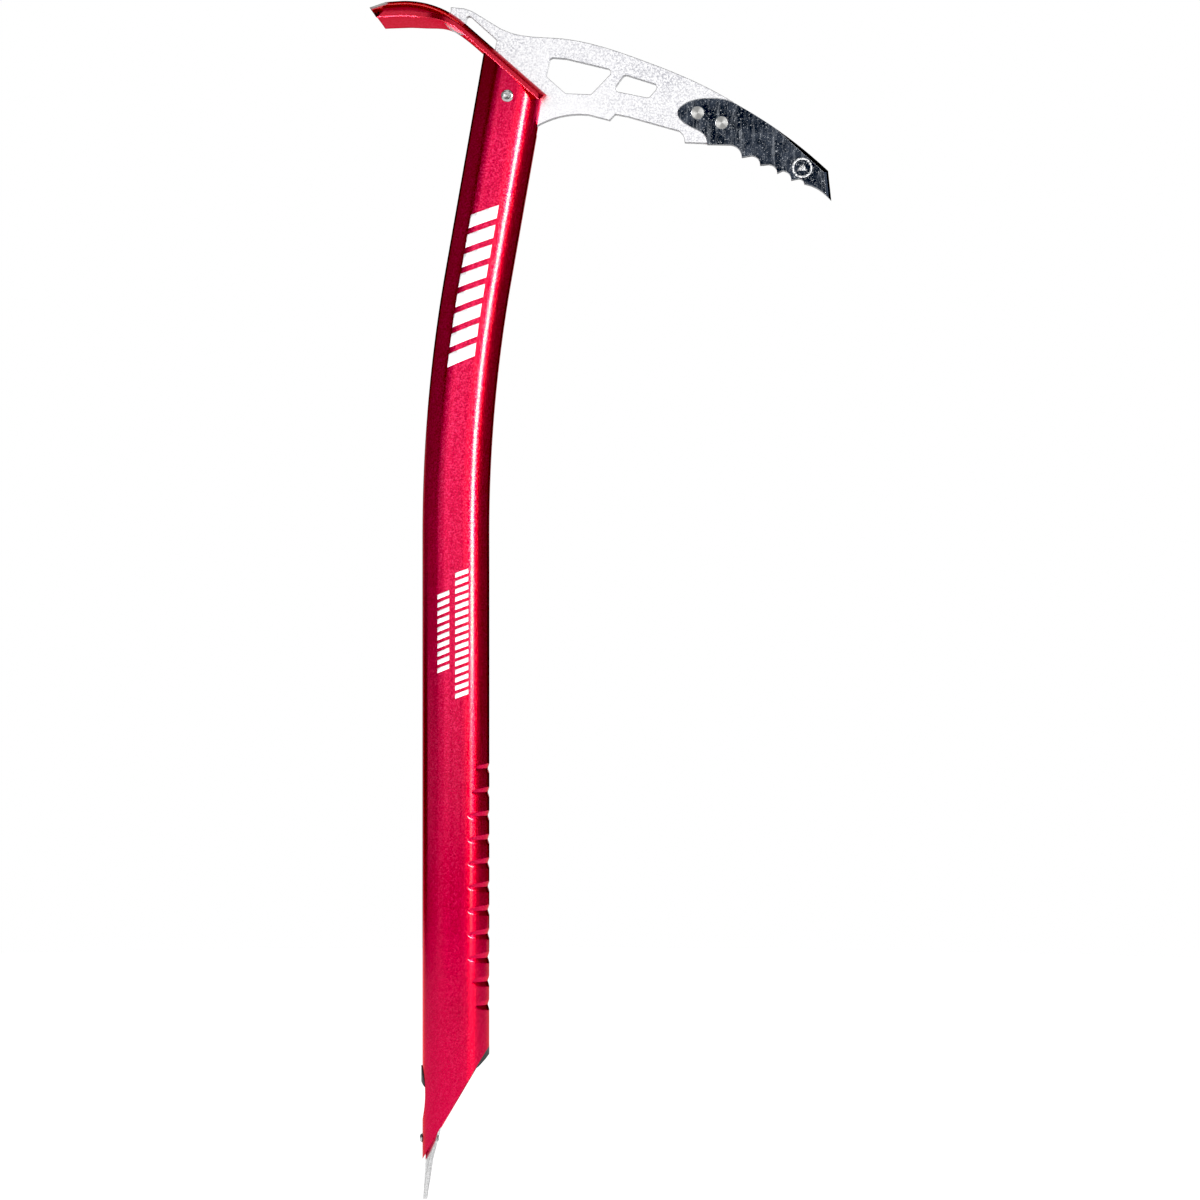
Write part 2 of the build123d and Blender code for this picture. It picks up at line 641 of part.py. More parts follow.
os.makedirs("parts", exist_ok=True)
nodes = [
    shaft.part,
    head_blade.part,
    pick_plate.part,
    *pick_rivets.values(),
    adze_plate.part,
    head_rivet,
    *tang_fillers.values(),
    spike_plate.part,
    spike_rivet,
    spike_rivet_stem,
    end_plug.part,
]
for node in nodes:
    export_step(node, f"parts/{node.label}.step")
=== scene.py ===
from math import cos, pi, radians, sin, sqrt, tan

import bmesh
import bpy
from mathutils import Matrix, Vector


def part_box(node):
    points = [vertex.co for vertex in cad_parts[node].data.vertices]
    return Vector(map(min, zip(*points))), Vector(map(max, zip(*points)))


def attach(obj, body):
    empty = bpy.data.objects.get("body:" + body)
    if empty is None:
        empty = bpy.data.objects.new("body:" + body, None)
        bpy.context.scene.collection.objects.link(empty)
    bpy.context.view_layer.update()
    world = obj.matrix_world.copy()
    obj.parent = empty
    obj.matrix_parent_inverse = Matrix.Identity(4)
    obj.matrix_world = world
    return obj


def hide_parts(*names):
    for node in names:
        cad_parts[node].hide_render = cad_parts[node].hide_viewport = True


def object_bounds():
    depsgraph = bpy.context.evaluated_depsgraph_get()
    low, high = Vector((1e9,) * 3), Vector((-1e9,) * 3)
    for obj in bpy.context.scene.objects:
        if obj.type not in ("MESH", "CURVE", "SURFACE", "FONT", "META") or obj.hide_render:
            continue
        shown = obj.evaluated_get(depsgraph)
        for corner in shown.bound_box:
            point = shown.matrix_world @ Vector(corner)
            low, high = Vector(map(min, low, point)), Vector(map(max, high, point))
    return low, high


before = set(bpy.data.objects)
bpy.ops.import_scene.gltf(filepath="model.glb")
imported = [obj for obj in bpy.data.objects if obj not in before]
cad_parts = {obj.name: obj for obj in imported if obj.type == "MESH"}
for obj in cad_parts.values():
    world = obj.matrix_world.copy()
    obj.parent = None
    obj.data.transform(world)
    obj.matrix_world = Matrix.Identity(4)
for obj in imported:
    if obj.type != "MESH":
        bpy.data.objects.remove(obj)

# ---------------------------------------------------------------- the frame's sizes, in metres

MM = 0.001
CAD_LOW, CAD_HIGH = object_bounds()
SHAFT_LOW, SHAFT_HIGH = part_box("shaft")
ADZE_LOW, ADZE_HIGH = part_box("adze_plate")
BLADE_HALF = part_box("pick_plate")[1].y

HALF_WIDTH = (SHAFT_HIGH.y - SHAFT_LOW.y) / 2
HALF_DEPTH = 1.4 * HALF_WIDTH
AXIS_X = SHAFT_LOW.x + HALF_DEPTH
WALL = 1.3 * MM

BEND_START = 277 * MM
BEND_RADIUS = 625 * MM
BEND_ANGLE = radians(10)
BEND_LENGTH = BEND_RADIUS * BEND_ANGLE
BEND_END = Vector((BEND_RADIUS * (1 - cos(BEND_ANGLE)), BEND_START + BEND_RADIUS * sin(BEND_ANGLE)))

TOP_CUT_REAR = Vector((12.0, 478.8)) * MM
TOP_CUT_ANGLE = radians(40.2)
PLATE_LOW_END = Vector((38.3, 460.3)) * MM
PLATE_BEND_START = Vector((4.0, 490.5)) * MM
ARCH_RADIUS = 29 * MM
PLATE_THICKNESS = 2 * MM
FOOT_TOE = Vector((-14.4, 15.8)) * MM
FOOT_SLOPE = tan(radians(59.5))

GROOVE_COUNT = 11
GROOVE_PITCH = 9.85 * MM
GROOVE_TOP = 179.8 * MM
GROOVE_HALF = 2.1 * MM
GROOVE_DEPTH = 0.66 * MM
GROOVE_REACH = 6.0 * MM  # from the axis to where the inner grooves begin
GROOVE_STEP = 1.6 * MM  # how much shorter each of the last two at either end is than the next
GROOVE_RUN_OUT = 1.6 * MM
GROOVE_SOFTNESS = 0.05 * MM

LANYARD_Z = 44.3 * MM
LANYARD_RADII = (4.5 * MM, 11.5 * MM)
RIVET_BORE = 2 * MM
SLOT_CLEARANCE = 0.1 * MM
PLATE_CLEARANCE = 0.03 * MM

SHAFT_SEGMENTS = 176
FOOT_STATION = 66 * MM  # where the straight rings begin, above the slanted foot
HEAD_STATION = BEND_START + BEND_LENGTH + 50 * MM  # where they end, below the slanted top
OUTER_END_ROWS = 14
INNER_END_ROWS = 6
INNER_STATION_SKIP = 12

MARK_GRID = 2.5 * MM
MARK_LIFT = 0.02 * MM
MARK_THICKNESS = 0.03 * MM

# ---------------------------------------------------------------- the studio, in metres and degrees

FLOOR_RADIUS = 1.3
FLOOR_GAP = 0.2 * MM
FLOOR_GLOW = 0.95
BLACK_POINT = 0.010
WHITE = (1, 1, 1)

KEY_DISTANCE = 2.5
KEY_LEVELS = (
    # name, low edge, high edge, share of the side's radiance
    ("lower", 0.0, 0.58, 1.05),
    ("upper", 0.58, 1.9, 0.88),
)
KEY_SIDES = (
    # name, azimuth, width, radiance
    ("left", -21.5, 0.8, 1.08),
    ("middle", 0, 1.0, 0.97),
    ("right", 21, 0.75, 0.9),
)
LEFT_LIGHTS = (
    # name, azimuth, distance, height, width, size upwards, radiance
    ("key_fade", -37, 2.4, 1.1, 0.5, 1.4, 0.38),
    ("key_low", -40, 2.3, 0.22, 0.74, 0.5, 0.68),
    ("left_low", -72, 2.0, 0.1, 1.6, 0.2, 0.6),
    ("rear_left", -140, 2.2, 0.15, 1.1, 0.7, 0.4),
    ("left_fill", -90, 2.0, 0.95, 3.0, 1.5, 0.18),
)
STRIPS = (
    # name, azimuth, distance, height, width, size upwards, radiance
    ("strip", 44.2, 1.3, 0.55, 0.19, 0.70, 46),
    ("strip_low", 40.5, 1.3, 0.11, 0.12, 0.18, 6.5),
)
STRIP_SHARE_RED = 1.15
STRIP_SHARE_BARE = 0.5
STRIP_TINT = (1.0, 1.0, 0.32)
ADZE_LIGHT_DISTANCE = 1.6
ADZE_LIGHTS = (
    # name, azimuth, elevation, width, height, radiance
    ("adze_face", 0, 12, 2.6, 0.5, 0.7),
    ("adze_lower", 0, -22, 2.6, 0.36, 2.6),
    ("adze_streak", -12, -30, 1.3, 0.34, 40),
    ("adze_crown", 180, 40, 2.4, 0.16, 1.8),
    ("adze_left", -75, -8, 2.0, 1.6, 0.45),
)


# ---------------------------------------------------------------- camera, floor and lights


def aimed(obj, place, target):
    obj.location = place
    obj.rotation_mode = "QUATERNION"
    obj.rotation_quaternion = (Vector(target) - Vector(place)).to_track_quat("-Z", "Y")
    bpy.context.scene.collection.objects.link(obj)
    return obj


def add_camera():
    distance, yaw, lens, sensor = 1.8, radians(3.2), 129.6, 36.0
    centre = (CAD_LOW + CAD_HIGH) / 2
    data = bpy.data.cameras.new("camera")
    data.lens = lens
    data.sensor_width = sensor
    place = centre + Vector((sin(yaw), -cos(yaw), 0)) * distance
    bpy.context.scene.camera = aimed(bpy.data.objects.new("camera", data), place, centre)


def soft_box(name, place, target, width, height, radiance, tint=WHITE):
    data = bpy.data.lights.new(name, "AREA")
    data.shape = "RECTANGLE"
    data.size = width
    data.size_y = height
    data.energy = radiance * 4 * width * height
    data.color = tint
    light = aimed(bpy.data.objects.new(name, data), place, target)
    light.visible_camera = False
    return light


def light_only(light, lit):
    """Makes a light reach only the given objects."""
    group = bpy.data.collections.new(light.name + "_receivers")
    for obj in lit:
        group.objects.link(obj)
    light.light_linking.receiver_collection = group


def around(azimuth, distance, height):
    """Place at that azimuth from the shaft: 0 is the camera's side, 90 the pick's side."""
    turn = radians(azimuth)
    return Vector((AXIS_X + distance * sin(turn), -distance * cos(turn), height))


def level_light(name, azimuth, distance, height, width, size_up, radiance, tint=WHITE):
    """Soft box that looks level at the shaft's axis."""
    place = around(azimuth, distance, height)
    return soft_box(name, place, around(0, 0, height), width, size_up, radiance, tint)


def add_lights(shaft, adze, others):
    """The upper keys, the strips, rear and rear_bare miss the adze plate, which has its own lights."""
    middle = Vector((AXIS_X, 0, 0.3))
    for level, low, high, share in KEY_LEVELS:
        for side, azimuth, width, radiance in KEY_SIDES:
            height = (high + low) / 2
            name = f"key_{side}_{level}"
            key = level_light(name, azimuth, KEY_DISTANCE, height, width, high - low, radiance * share)
            if level == "upper":
                light_only(key, [shaft] + others)
    for row in LEFT_LIGHTS:
        level_light(*row)
    add_strips("red", [shaft], STRIP_SHARE_RED, STRIP_TINT)
    add_strips("bare", others, STRIP_SHARE_BARE, WHITE)
    soft_box("floor_bounce", Vector((AXIS_X, 0, -0.1 * MM)), Vector((AXIS_X, 0, 1)), 2.4, 2.4, 0.75)
    soft_box("right_fill", around(95, 2.0, 0.9), around(0, 0, 0.9), 2.6, 1.8, 0.13)
    soft_box("right_high", around(72, 2.0, 1.7), middle, 1.4, 0.9, 0.2)
    soft_box("overhead_front", Vector((-0.3, -1.0, 2.6)), Vector((0.0, 0, 0)), 2.0, 1.6, 0.5)
    soft_box("overhead", Vector((0.05, -0.1, 2.7)), Vector((0.05, 0, 0)), 3.2, 3.2, 0.42)
    rear = soft_box("rear", around(172, 2.6, 1.0), middle, 2.4, 1.4, 0.5)
    light_only(rear, [shaft] + others)
    rear_bare = soft_box("rear_bare", around(190, 2.6, 0.9), middle, 3.2, 1.7, 0.45)
    light_only(rear_bare, others)
    add_adze_lights(adze)


def add_strips(finish, lit, share, tint):
    """Narrow lights for the bright line down the shaft's pick side, for one group of pieces."""
    for name, azimuth, distance, height, width, size_up, radiance in STRIPS:
        strip = level_light(
            f"{name}_{finish}", azimuth, distance, height, width, size_up, radiance * share, tint
        )
        light_only(strip, lit)


def add_adze_lights(adze):
    """The adze plate's own lights, all aimed at the height of its top."""
    target = Vector((0, 0, ADZE_HIGH.z))
    for name, azimuth, elevation, width, height, radiance in ADZE_LIGHTS:
        reach = ADZE_LIGHT_DISTANCE * cos(radians(elevation))
        place = around(azimuth, reach, target.z + ADZE_LIGHT_DISTANCE * sin(radians(elevation)))
        light_only(soft_box(name, place, target, width, height, radiance), [adze])


def add_world():
    world = bpy.data.worlds.new("studio")
    bpy.context.scene.world = world
    world.use_nodes = True
    background = world.node_tree.nodes["Background"]
    background.inputs["Color"].default_value = (1, 1, 1, 1)
    background.inputs["Strength"].default_value = 1.0
    world.cycles_visibility.glossy = False
    world.cycles_visibility.diffuse = False
    view = bpy.context.scene.view_settings
    view.view_transform = "Standard"
    view.use_curve_mapping = True
    view.curve_mapping.black_level = (BLACK_POINT, BLACK_POINT, BLACK_POINT)
    view.curve_mapping.update()


def add_floor():
    """White paper that gives off its own light, so that it meets the surround with no horizon."""
    bm = bmesh.new()
    bmesh.ops.create_circle(bm, cap_ends=True, segments=96, radius=FLOOR_RADIUS)
    floor = new_object("floor", bm, None)
    floor.location = (AXIS_X, 0, CAD_LOW.z - FLOOR_GAP)
    material = principled("floor_paper", (0.86, 0.86, 0.86), 0.0, 0.9)
    nodes = Nodes(material)
    nodes.shader.inputs["Emission Color"].default_value = (1, 1, 1, 1)
    nodes.shader.inputs["Emission Strength"].default_value = FLOOR_GLOW
    nodes.shader.inputs["Specular IOR Level"].default_value = 0.0
    fibres = nodes.noise(3 * MM, detail=4)
    nodes.color(nodes.mix(fibres, (0.84, 0.84, 0.84), (0.88, 0.88, 0.88)))
    floor.visible_glossy = False
    floor.data.materials.append(material)


# ---------------------------------------------------------------- helpers


def new_object(name, bm, material):
    """Object from a bmesh, with its normals made to face outwards."""
    bmesh.ops.recalc_face_normals(bm, faces=bm.faces)
    for face in bm.faces:
        face.smooth = True
    mesh = bpy.data.meshes.new(name)
    bm.to_mesh(mesh)
    bm.free()
    if material:
        mesh.materials.append(material)
    obj = bpy.data.objects.new(name, mesh)
    bpy.context.scene.collection.objects.link(obj)
    return obj


def apply_modifiers(obj):
    """Replaces the object's mesh by its shape with the modifiers on, and drops them."""
    graph = bpy.context.evaluated_depsgraph_get()
    mesh = bpy.data.meshes.new_from_object(obj.evaluated_get(graph), depsgraph=graph)
    obj.modifiers.clear()
    obj.data = mesh


def grid_faces(bm, rows):
    """Quads between neighbouring rings of vertices."""
    for low, high in zip(rows, rows[1:]):
        count = len(low)
        for i in range(count):
            j = (i + 1) % count
            bm.faces.new((low[i], low[j], high[j], high[i]))


# ---------------------------------------------------------------- materials


def principled(name, color, metallic, roughness, **inputs):
    material = bpy.data.materials.new(name)
    material.use_nodes = True
    shader = material.node_tree.nodes["Principled BSDF"]
    shader.inputs["Base Color"].default_value = (*color, 1)
    shader.inputs["Metallic"].default_value = metallic
    shader.inputs["Roughness"].default_value = roughness
    for key, value in inputs.items():
        shader.inputs[key.replace("_", " ")].default_value = value
    return material


class Nodes:
    """Short ways to add texture nodes to one material."""

    def __init__(self, material):
        self.tree = material.node_tree
        self.shader = self.tree.nodes["Principled BSDF"]
        self.place = self.tree.nodes.new("ShaderNodeTexCoord").outputs["Object"]
        self.rounded = None

    def link(self, source, target):
        self.tree.links.new(source, target)

    def mapping(self, scale=(1, 1, 1), turn=(0, 0, 0)):
        node = self.tree.nodes.new("ShaderNodeMapping")
        node.inputs["Scale"].default_value = scale
        node.inputs["Rotation"].default_value = turn
        self.link(self.place, node.inputs["Vector"])
        return node.outputs["Vector"]

    def noise(self, size, detail=3.0, place=None, roughness=0.55):
        """Noise whose features are about that size, in metres."""
        node = self.tree.nodes.new("ShaderNodeTexNoise")
        node.inputs["Scale"].default_value = 1 / size
        node.inputs["Detail"].default_value = detail
        node.inputs["Roughness"].default_value = roughness
        self.link(place or self.place, node.inputs["Vector"])
        return node.outputs["Fac"]

    def cells(self, size):
        node = self.tree.nodes.new("ShaderNodeTexVoronoi")
        node.inputs["Scale"].default_value = 1 / size
        self.link(self.place, node.inputs["Vector"])
        return node.outputs["Distance"]

    def remap(self, value, low, high, out_low=0.0, out_high=1.0):
        node = self.tree.nodes.new("ShaderNodeMapRange")
        self.link(value, node.inputs["Value"])
        keys = ("From Min", "From Max", "To Min", "To Max")
        for key, number in zip(keys, (low, high, out_low, out_high)):
            node.inputs[key].default_value = number
        return node.outputs["Result"]

    def math(self, operation, first, second=0.0, clamp=False):
        node = self.tree.nodes.new("ShaderNodeMath")
        node.operation = operation
        node.use_clamp = clamp
        for socket, value in zip(node.inputs, (first, second)):
            if isinstance(value, (int, float)):
                socket.default_value = value
            else:
                self.link(value, socket)
        return node.outputs["Value"]

    def mix(self, factor, first, second):
        """Colour between first and second; either may be a colour or a socket."""
        node = self.tree.nodes.new("ShaderNodeMix")
        node.data_type = "RGBA"
        for socket, value in ((node.inputs[0], factor), (node.inputs[6], first), (node.inputs[7], second)):
            if isinstance(value, (int, float)):
                socket.default_value = value
            elif isinstance(value, tuple):
                socket.default_value = (*value, 1)
            else:
                self.link(value, socket)
        return node.outputs[2]

    def split(self, vector):
        node = self.tree.nodes.new("ShaderNodeSeparateXYZ")
        self.link(vector, node.inputs["Vector"])
        return node.outputs

    def normal(self):
        return self.tree.nodes.new("ShaderNodeNewGeometry").outputs["Normal"]

    def edges(self, radius, start=0.995, full=0.93):
        """1 on the rounded edges of the piece, 0 on its faces. Also rounds the edges' shading."""
        node = self.tree.nodes.new("ShaderNodeBevel")
        node.samples = 6
        node.inputs["Radius"].default_value = radius
        self.rounded = node.outputs["Normal"]
        product = self.tree.nodes.new("ShaderNodeVectorMath")
        product.operation = "DOT_PRODUCT"
        self.link(self.rounded, product.inputs[0])
        self.link(self.normal(), product.inputs[1])
        return self.remap(product.outputs["Value"], start, full)

    def bump(self, height, distance, strength):
        node = self.tree.nodes.new("ShaderNodeBump")
        if self.rounded:
            self.link(self.rounded, node.inputs["Normal"])
        node.inputs["Strength"].default_value = strength
        node.inputs["Distance"].default_value = distance
        self.link(height, node.inputs["Height"])
        self.link(node.outputs["Normal"], self.shader.inputs["Normal"])

    def color(self, source):
        self.link(source, self.shader.inputs["Base Color"])

    def roughness(self, source):
        self.link(source, self.shader.inputs["Roughness"])


RED = (0.74, 0.0, 0.062)
RED_DEEP = (0.66, 0.0, 0.052)
RED_LIGHT = (1.0, 0.045, 0.17)
RED_DARK = (0.42, 0, 0.032)
RED_PLATE = (0.60, 0.040, 0.045)
RED_GLANCE = (0.8, 0.22, 0.28)
SHAFT_COAT = 0.36
PLATE_COAT = 0.14
GRAIN_RISE = (0.10, 0.34)  # heights between which the grain grows stronger
HEAD_SHADE = (0.440, 0.474)  # heights between which painted shade darkens the shaft under the head
GROUND_END = (9 * MM, 7.5 * MM)  # from the cutting edge, where the bare metal begins and is full
GROUND_RISE = 0.26
GROUND_BELOW_TOP = (5.4 * MM, 4.2 * MM)


def anodised_red(name, bare_edge=False):
    """Red anodised aluminium: fine metallic grain, faint drawing lines, a clear hard layer; on the shaft,
    painted shade under the head.
    """
    coat = PLATE_COAT if bare_edge else SHAFT_COAT
    material = principled(name, RED, 1.0, 0.25, Coat_Weight=coat, Coat_Roughness=0.12, Coat_IOR=1.5)
    nodes = Nodes(material)
    nodes.shader.inputs["Specular Tint"].default_value = (*RED_GLANCE, 1)
    grain = nodes.noise(0.68 * MM, detail=4, roughness=0.75)
    clouds = nodes.noise(18 * MM, detail=2)
    lines = nodes.noise(0.6 * MM, detail=2, place=nodes.mapping(scale=(1, 1, 0.02)))
    height = nodes.split(nodes.place)["Z"]
    coarse = nodes.remap(height, *GRAIN_RISE, 0.32, 0.85)
    color = nodes.mix(nodes.remap(clouds, 0.35, 0.65), RED_DEEP, RED)
    dark = nodes.math("MULTIPLY", nodes.remap(grain, 0.49, 0.40, 0.0, 0.9), coarse)
    color = nodes.mix(dark, color, RED_DARK)
    light = nodes.math("MULTIPLY", nodes.remap(grain, 0.51, 0.60), coarse)
    color = nodes.mix(light, color, RED_LIGHT)
    if not bare_edge:
        # painted shade: the shaft's colour darkens towards the head, standing in for the shade under it
        color = nodes.mix(nodes.remap(height, *HEAD_SHADE, 0.0, 0.75), color, RED_DARK)
    uneven = nodes.remap(grain, 0.3, 0.7, 0.19, 0.25)
    rough = nodes.math("ADD", uneven, nodes.remap(lines, 0.3, 0.7, -0.02, 0.03))
    if bare_edge:
        color = nodes.mix(0.65, color, RED_PLATE)
        nodes.edges(0.7 * MM)
        nodes.link(nodes.rounded, nodes.shader.inputs["Coat Normal"])
        color, rough = ground_bare(nodes, color, rough)
    nodes.color(color)
    nodes.roughness(rough)
    nodes.bump(nodes.math("ADD", grain, nodes.math("MULTIPLY", lines, 0.5)), 0.014 * MM, 0.8)
    return material


def ground_bare(nodes, color, rough):
    """Bare scratched metal at the adze's cutting edge, above a line that rises from it."""
    position = nodes.split(nodes.place)
    ground = nodes.remap(position["X"], ADZE_LOW.x + GROUND_END[0], ADZE_LOW.x + GROUND_END[1])
    rise = nodes.math("MULTIPLY", nodes.math("SUBTRACT", position["X"], ADZE_LOW.x), GROUND_RISE)
    above = nodes.math("SUBTRACT", position["Z"], rise)
    upper = nodes.remap(above, ADZE_HIGH.z - GROUND_BELOW_TOP[0], ADZE_HIGH.z - GROUND_BELOW_TOP[1])
    bare = nodes.math("MULTIPLY", ground, upper)
    scratches = nodes.noise(0.35 * MM, detail=2, place=nodes.mapping(scale=(1, 0.06, 1)))
    metal = nodes.mix(scratches, (0.62, 0.63, 0.60), (0.93, 0.94, 0.92))
    color = nodes.mix(bare, color, metal)
    rough = nodes.math("ADD", rough, nodes.math("MULTIPLY", bare, 0.3))
    metallic = nodes.math("SUBTRACT", 1.0, nodes.math("MULTIPLY", bare, 0.85))
    nodes.link(metallic, nodes.shader.inputs["Metallic"])
    return color, rough


def tumbled_aluminium():
    """Tumbled bare aluminium: bright, with a fine grey speckle of tiny dents, and painted shade darkening
    its edges.
    """
    material = principled("head_aluminium", (0.85, 0.85, 0.87), 1.0, 0.42)
    nodes = Nodes(material)
    speckle = nodes.noise(0.8 * MM, detail=4, roughness=0.8)
    dents = nodes.cells(1.1 * MM)
    clouds = nodes.noise(11 * MM, detail=2)
    position = nodes.split(nodes.place)
    upper = nodes.remap(position["Z"], 446 * MM, 482 * MM, 0.3, 1.0)
    pick_end = nodes.remap(position["X"], 72 * MM, 100 * MM, 0.0, 0.6)
    spots = nodes.remap(speckle, 0.54, 0.42)
    amount = nodes.math("MULTIPLY", spots, nodes.math("ADD", upper, pick_end), clamp=True)
    color = nodes.mix(amount, (0.99, 0.985, 1.0), (0.50, 0.50, 0.545))
    color = nodes.mix(nodes.remap(clouds, 0.35, 0.65, 0.0, 0.45), color, (0.97, 0.965, 0.98))
    # painted shade: the rounded edges darkened, standing in for the dark reflections they catch
    color = nodes.mix(nodes.edges(0.55 * MM, 0.996, 0.93), color, (0.15, 0.15, 0.16))
    nodes.color(color)
    nodes.roughness(nodes.remap(speckle, 0.3, 0.7, 0.26, 0.36))
    height = nodes.math("ADD", nodes.math("MULTIPLY", dents, 0.8), speckle)
    nodes.bump(height, 0.03 * MM, 0.8)
    return material


def polished_steel():
    """Polished stainless steel with ground streaks, scratches and bright specks; its dark colour is painted
    reflection of dark surroundings, with painted highlight lines on its edges and painted dark reflections
    on its ground facets.
    """
    material = principled("pick_steel", (0.14, 0.16, 0.19), 1.0, 0.22)
    nodes = Nodes(material)
    lean = nodes.mapping(scale=(1, 1, 0.12), turn=(0, radians(-8), 0))
    streaks = nodes.noise(2.6 * MM, detail=6, place=lean, roughness=0.75)
    fine = nodes.noise(0.5 * MM, detail=3, place=lean, roughness=0.8)
    clouds = nodes.noise(6 * MM, detail=4, roughness=0.7)
    specks = nodes.noise(0.7 * MM, detail=4, roughness=0.85)
    # painted reflection: a base colour far darker than steel, standing in for the dark surroundings it
    # mirrors
    color = nodes.mix(nodes.remap(clouds, 0.42, 0.62), (0.006, 0.009, 0.016), (0.048, 0.058, 0.078))
    color = nodes.mix(nodes.remap(streaks, 0.52, 0.68, 0.0, 0.75), color, (0.26, 0.28, 0.31))
    color = nodes.mix(nodes.remap(fine, 0.60, 0.72, 0.0, 0.6), color, (0.50, 0.53, 0.57))
    color = nodes.mix(nodes.remap(specks, 0.60, 0.66, 0.0, 1.0), color, (0.85, 0.88, 0.92))
    facing = nodes.math("ABSOLUTE", nodes.split(nodes.normal())["Y"])
    # painted highlight: a bright line along the edges between face and facet
    color = nodes.mix(nodes.edges(0.2 * MM, 0.9995, 0.99), color, (0.75, 0.77, 0.80))
    # painted dark reflection: black where the normal turns from the flat side onto the ground facets
    painted_facet_reflection = nodes.math("MULTIPLY", nodes.remap(facing, 0.985, 0.965), nodes.remap(facing, 0.4, 0.6))
    color = nodes.mix(painted_facet_reflection, color, (0.004, 0.005, 0.007))
    nodes.color(color)
    nodes.roughness(nodes.remap(fine, 0.3, 0.7, 0.14, 0.30))
    nodes.bump(nodes.math("ADD", fine, specks), 0.01 * MM, 0.5)
    return material


def bright_metal(name, color, roughness, faced=None):
    """Bright bare metal with painted shade on its edges. faced names a node turned on a lathe, whose face
    gets painted light and dark sectors, a painted reflection of its turning.
    """
    material = principled(name, color, 1.0, roughness)
    nodes = Nodes(material)
    grain = nodes.noise(0.5 * MM, detail=3, roughness=0.7)
    scuffs = nodes.noise(0.3 * MM, detail=2, place=nodes.mapping(scale=(1, 1, 0.15)))
    darker = tuple(0.68 * c for c in color)
    finish = nodes.mix(nodes.remap(grain, 0.4, 0.6), darker, color)
    # painted shade: the rounded edges darkened, standing in for their dark reflections
    finish = nodes.mix(nodes.edges(0.3 * MM), finish, tuple(0.3 * c for c in color))
    if faced:
        centre = sum(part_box(faced), Vector()) / 2
        position = nodes.split(nodes.place)
        across = nodes.math("SUBTRACT", position["X"], centre.x)
        up = nodes.math("SUBTRACT", position["Z"], centre.z)
        angle = nodes.math("ARCTAN2", up, across)
        # painted reflection: light and dark sectors around the centre, standing in for how a turned face
        # reflects light
        painted_sector_sheen = nodes.math("SINE", nodes.math("MULTIPLY", nodes.math("ADD", angle, 0.5), 2.0))
        finish = nodes.mix(nodes.remap(painted_sector_sheen, -0.6, 0.9), tuple(0.38 * c for c in color), finish)
    nodes.color(finish)
    nodes.roughness(nodes.remap(scuffs, 0.3, 0.7, roughness * 0.8, roughness * 1.3))
    nodes.bump(nodes.math("ADD", grain, scuffs), 0.01 * MM, 0.6)
    return material


def moulded_plastic(name, color, roughness):
    material = principled(name, color, 0.0, roughness)
    nodes = Nodes(material)
    grain = nodes.noise(0.3 * MM, detail=3)
    scuffs = nodes.noise(4 * MM, detail=5, roughness=0.7)
    lighter = tuple(min(1.0, 2.2 * c + 0.01) for c in color)
    nodes.color(nodes.mix(nodes.remap(scuffs, 0.5, 0.75, 0.0, 0.7), color, lighter))
    nodes.roughness(nodes.remap(grain, 0.3, 0.7, roughness * 0.85, roughness * 1.2))
    nodes.bump(grain, 0.015 * MM, 0.7)
    return material


def marking_paint(name, worn=False):
    material = principled(name, (0.93, 0.93, 0.93), 0.0, 0.42)
    nodes = Nodes(material)
    grain = nodes.noise((0.6 if worn else 0.25) * MM, detail=3)
    wear = nodes.noise(2.5 * MM, detail=5, roughness=0.75)
    color = nodes.mix(nodes.remap(wear, 0.60, 0.72, 0.0, 0.5), (0.94, 0.94, 0.94), (0.78, 0.72, 0.73))
    if worn:
        color = nodes.mix(nodes.remap(grain, 0.42, 0.56), (0.16, 0.17, 0.18), (0.80, 0.80, 0.80))
    nodes.color(color)
    nodes.roughness(nodes.remap(grain, 0.3, 0.7, 0.36, 0.5))
    nodes.bump(grain, 0.008 * MM, 0.5)
    return material


# ---------------------------------------------------------------- the shaft's surface


def on_axis(along):
    """Side-view point of the shaft's axis, and its tilt, at that length from the lower end."""
    if along <= BEND_START:
        return Vector((0, along)), 0.0
    if along <= BEND_START + BEND_LENGTH:
        tilt = (along - BEND_START) / BEND_RADIUS
        offset = Vector((BEND_RADIUS * (1 - cos(tilt)), BEND_RADIUS * sin(tilt)))
        return Vector((0, BEND_START)) + offset, tilt
    rest = along - BEND_START - BEND_LENGTH
    return BEND_END + rest * Vector((sin(BEND_ANGLE), cos(BEND_ANGLE))), BEND_ANGLE


def shaft_point(along, across, sideways):
    """Frame position: along the axis, across it towards the pick, and sideways along Y."""
    centre, tilt = on_axis(along)
    return Vector((
        AXIS_X + centre.x + across * cos(tilt),
        sideways,
        centre.y - across * sin(tilt),
    ))


def top_limit(across, sideways):
    """Length along the axis where the slanted, coped top cuts a line parallel to the axis."""
    up = Vector((sin(BEND_ANGLE), cos(BEND_ANGLE)))
    out = Vector((up.y, -up.x))
    flat_normal = Vector((sin(TOP_CUT_ANGLE), cos(TOP_CUT_ANGLE)))
    start = BEND_END + across * out
    flat = (TOP_CUT_REAR - start).dot(flat_normal) / up.dot(flat_normal)
    slope = (PLATE_BEND_START - PLATE_LOW_END).normalized()
    plate_normal = Vector((slope.y, -slope.x))
    inside = ARCH_RADIUS - PLATE_THICKNESS - PLATE_CLEARANCE
    under = ARCH_RADIUS - sqrt(inside**2 - sideways**2)
    coped = ((PLATE_LOW_END - start).dot(plate_normal) - under) / up.dot(plate_normal)
    return BEND_START + BEND_LENGTH + min(flat, coped)


def foot_limit(across):
    """Length along the axis where the slanted foot cuts that line."""
    return FOOT_TOE.y + (across - FOOT_TOE.x) * FOOT_SLOPE


